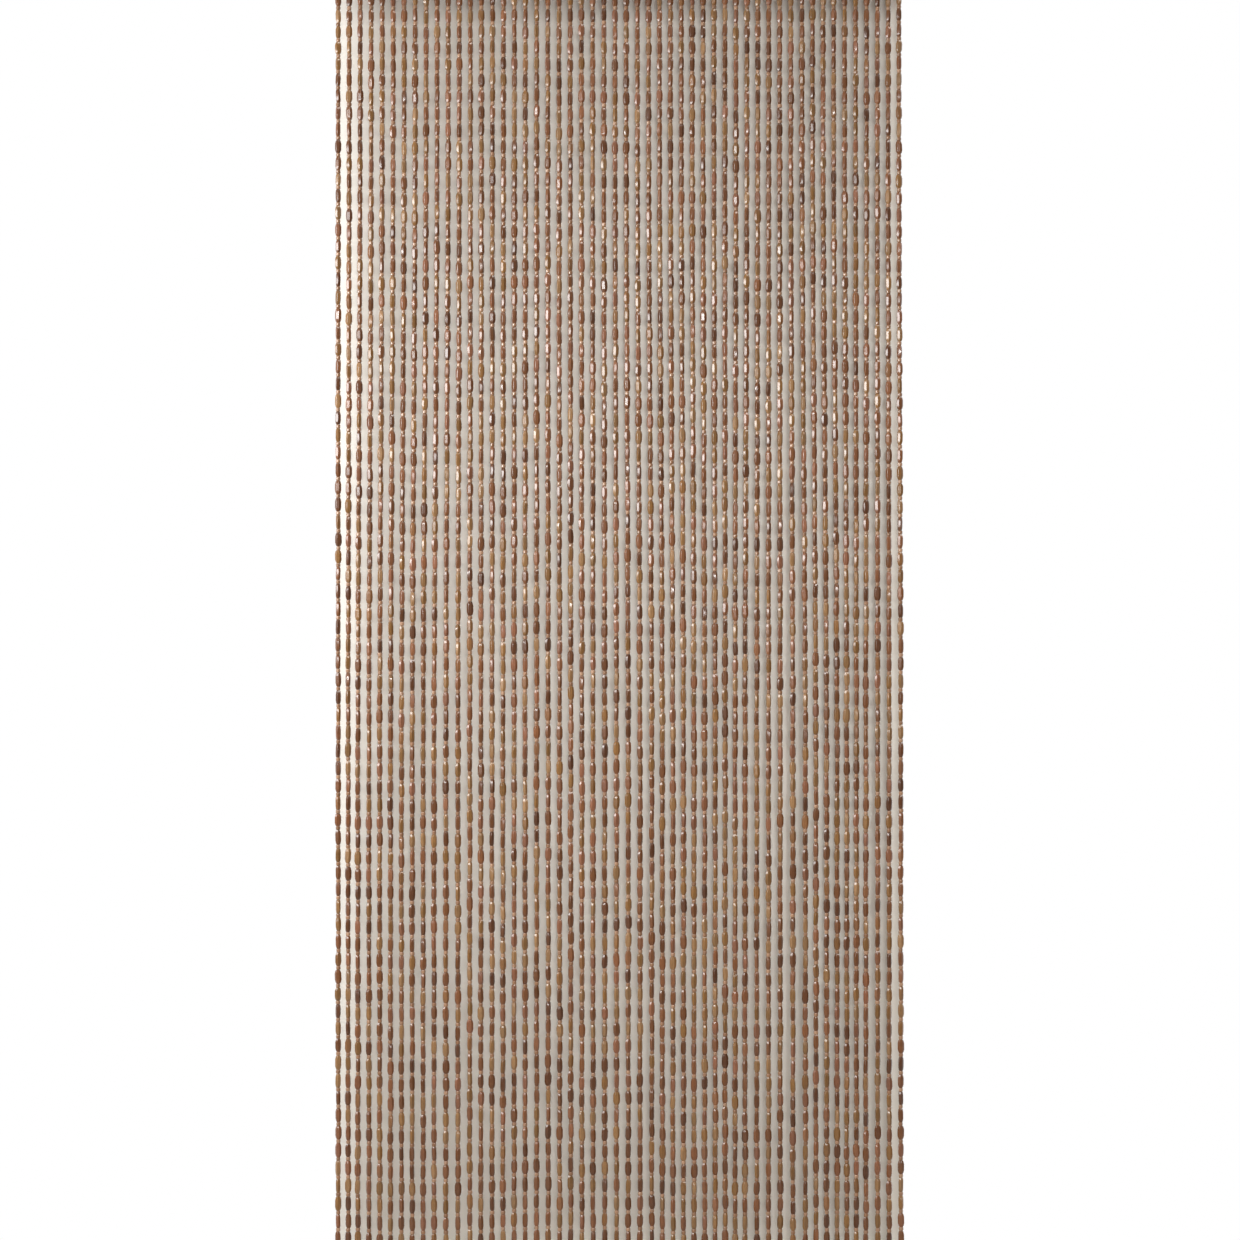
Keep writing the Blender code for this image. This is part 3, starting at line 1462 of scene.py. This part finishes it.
@dataclass
class Studio:
    """Backdrop, floor, lamps and camera.

    Attributes:
        wall_behind: From the curtain's middle plane back to the wall.
        glow_beyond: How far from the middle the wall glows white, painted light that hides the
        strands' shadow outside the outer strands.
        floor_below: From the hem down to the floor.
        wall_width: Width of the wall and the floor.
        wall_height: Height of the wall.
        floor_depth: How far the floor reaches towards the camera.
        world_strength: Strength of the even light from all round.
        softboxes: The lamps.
        camera_place: Place of the camera, level and square to the curtain.
        lens: Its focal length in millimetres.
    """

    wall_behind: float = 0.030
    glow_beyond: float = 0.443
    floor_below: float = 0.02
    wall_width: float = 8.0
    wall_height: float = 3.6
    floor_depth: float = 7.0
    world_strength: float = 0.24
    softboxes: tuple[SoftBox, ...] = (
        SoftBox(
            name="key_window",
            place=(-5.45, -10.7, 0.64),
            aim=(0.0, 0.0, -0.85),
            width=1.60,
            height=1.10,
            power=3.4,
            spread=math.radians(17.5),
        ),
        SoftBox(
            name="side_window",
            place=(-2.33, -1.30, -0.40),
            aim=(0.0, 0.0, -0.80),
            width=2.00,
            height=0.90,
            power=30.5,
            spread=math.radians(105),
        ),
        SoftBox(
            name="top_softbox",
            place=(-1.0, -6.5, 5.20),
            aim=(0.0, 0.0, -0.72),
            width=4.00,
            height=3.00,
            power=3.9,
            spread=math.radians(27),
        ),
        SoftBox(
            name="right_softbox",
            place=(3.8, -5.4, 4.40),
            aim=(0.0, 0.0, -0.90),
            width=6.50,
            height=3.20,
            power=27.6,
            spread=math.radians(26),
            tint=WARM,
        ),
    )
    camera_place: Place = (2.2 * MM, -4.58, -1.0068)
    lens: float = 85.0

    def sheet(self, name: str, corners: list[Place], finish: StudioPaper) -> None:
        """Put up one flat sheet of backdrop paper.

        Args:
            name: Name of the sheet.
            corners: Its four corners, anticlockwise as seen from its pale side.
            finish: Its finish.
        """
        mesh = bpy.data.meshes.new(name)
        mesh.from_pydata(corners, [], [tuple(range(len(corners)))])
        mesh.materials.append(finish.make())
        sheet = bpy.data.objects.new(name, mesh)
        bpy.context.scene.collection.objects.link(sheet)

    def build(self, hem: float) -> None:
        """Put up the studio round the curtain.

        Args:
            hem: Height of the curtain's hem.
        """
        half, floor = self.wall_width / 2.0, hem - self.floor_below
        top = floor + self.wall_height
        back, front = self.wall_behind, -self.floor_depth
        wall = [(-half, back, floor), (half, back, floor), (half, back, top), (-half, back, top)]
        ground = [(-half, front, floor), (half, front, floor), (half, back, floor), (-half, back, floor)]
        wall_paper = StudioPaper(
            "wall_paper", linear(237, 236, 230), one_sided=True, glow_beyond=self.glow_beyond
        )
        self.sheet("studio_wall", wall, wall_paper)
        self.sheet("studio_floor", ground, StudioPaper("floor_paper", linear(198, 196, 191)))
        for softbox in self.softboxes:
            softbox.make()
        world = bpy.data.worlds.new("studio_air")
        world.use_nodes = True
        air = world.node_tree.nodes["Background"]
        air.inputs["Color"].default_value = (*WARM, 1.0)
        air.inputs["Strength"].default_value = self.world_strength
        bpy.context.scene.world = world
        bpy.context.scene.view_settings.view_transform = "Standard"
        self.camera()

    def camera(self) -> None:
        """Stand the camera up, level and square to the curtain."""
        data = bpy.data.cameras.new("camera")
        data.lens = self.lens
        camera = bpy.data.objects.new("camera", data)
        camera.location = self.camera_place
        camera.rotation_euler = (math.pi / 2.0, 0.0, 0.0)
        bpy.context.scene.collection.objects.link(camera)
        bpy.context.scene.camera = camera


# ---------------------------------------------------------------------------------------------
# Putting it together
# ---------------------------------------------------------------------------------------------


def fit(piece: bpy.types.Object, material: bpy.types.Material) -> None:
    """Dress a piece, put it on the curtain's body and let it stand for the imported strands.

    Args:
        piece: The piece.
        material: Its finish.
    """
    piece.data.materials.clear()
    piece.data.materials.append(material)
    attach(piece, BODY)
    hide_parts(CAD_NODE)
    counts = len(piece.data.vertices), len(piece.data.polygons)
    LOG.info("%s: %d points, %d faces", piece.name, *counts)


def main() -> None:
    """Build the lath, the strands and the studio in order, and report each piece."""
    logging.basicConfig(level=logging.INFO, format="%(name)s: %(message)s")
    LOG.info("packed nodes: %s", ", ".join(frame["nodes"]))
    low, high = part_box(CAD_NODE)
    lath_top, hem = high[2], low[2]
    row = StrandRow()
    lath = HeadingLath(length=high[0] - low[0], depth=high[1] - low[1])
    lath.dress(row)
    bead_feet = Strands(row, Threading()).dress(lath_top - lath.height, hem)
    Cords().dress(row, lath_top, bead_feet, hem)
    Studio().build(hem)


if __name__ == "__main__":
    main()
